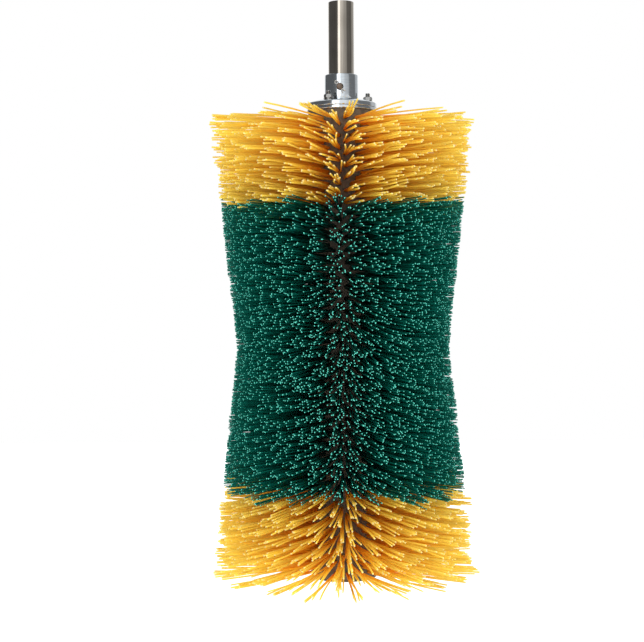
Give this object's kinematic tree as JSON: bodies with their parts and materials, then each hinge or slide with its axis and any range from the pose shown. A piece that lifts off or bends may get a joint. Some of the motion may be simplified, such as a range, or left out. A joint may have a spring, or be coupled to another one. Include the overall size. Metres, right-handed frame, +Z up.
{
  "type": "rotating cow brush",
  "caption": "Hourglass livestock brush drum with yellow and green bristle tufts, turning on bushes about a pinned hanging steel shaft.",
  "frame": {"origin": "centre of the shaft's top end face", "axes": "+Z up along the shaft, away from the brush; -Y is the front, where the cross pin shows its split pin; a tie rod stands at +X"},
  "size_m": [0.433, 0.433, 0.9492],
  "materials": {
    "stainless": "brushed",
    "zinc_plate": "bright zinc plate",
    "bearing_plastic": "turned cast nylon",
    "core_plastic": "extruded, satin",
    "yellow_bristle": "drawn monofilament",
    "green_bristle": "drawn monofilament"
  },
  "bodies": {
    "shaft": {"hanging_shaft": "stainless", "top_collar": "zinc_plate", "top_cross_pin": "zinc_plate", "top_split_pin": "stainless", "bottom_collar": "zinc_plate", "bottom_spring_pin": "stainless", "thrust_washer": "stainless"},
    "brush": {"hub_flange": "zinc_plate", "top_end_plate": "zinc_plate", "bottom_end_plate": "zinc_plate", "top_bush": "bearing_plastic", "bottom_bush": "bearing_plastic", "tie_rod_1": "zinc_plate", "tie_rod_2": "zinc_plate", "tie_rod_3": "zinc_plate", "top_nut_1": "zinc_plate", "top_nut_2": "zinc_plate", "top_nut_3": "zinc_plate", "top_washer_1": "zinc_plate", "top_washer_2": "zinc_plate", "top_washer_3": "zinc_plate", "bottom_nut_1": "zinc_plate", "bottom_nut_2": "zinc_plate", "bottom_nut_3": "zinc_plate", "bottom_washer_1": "zinc_plate", "bottom_washer_2": "zinc_plate", "bottom_washer_3": "zinc_plate", "core_tube": "core_plastic", "upper_yellow_tufts": "yellow_bristle", "upper_green_tufts": "green_bristle", "lower_green_tufts": "green_bristle", "lower_yellow_tufts": "yellow_bristle"}
  },
  "joints": [
    {"name": "brush_spin", "type": "hinge", "parent": "shaft", "child": "brush", "pos_m": [0, 0, -0.559], "axis": [0, 0, 1], "continuous": true}
  ]
}
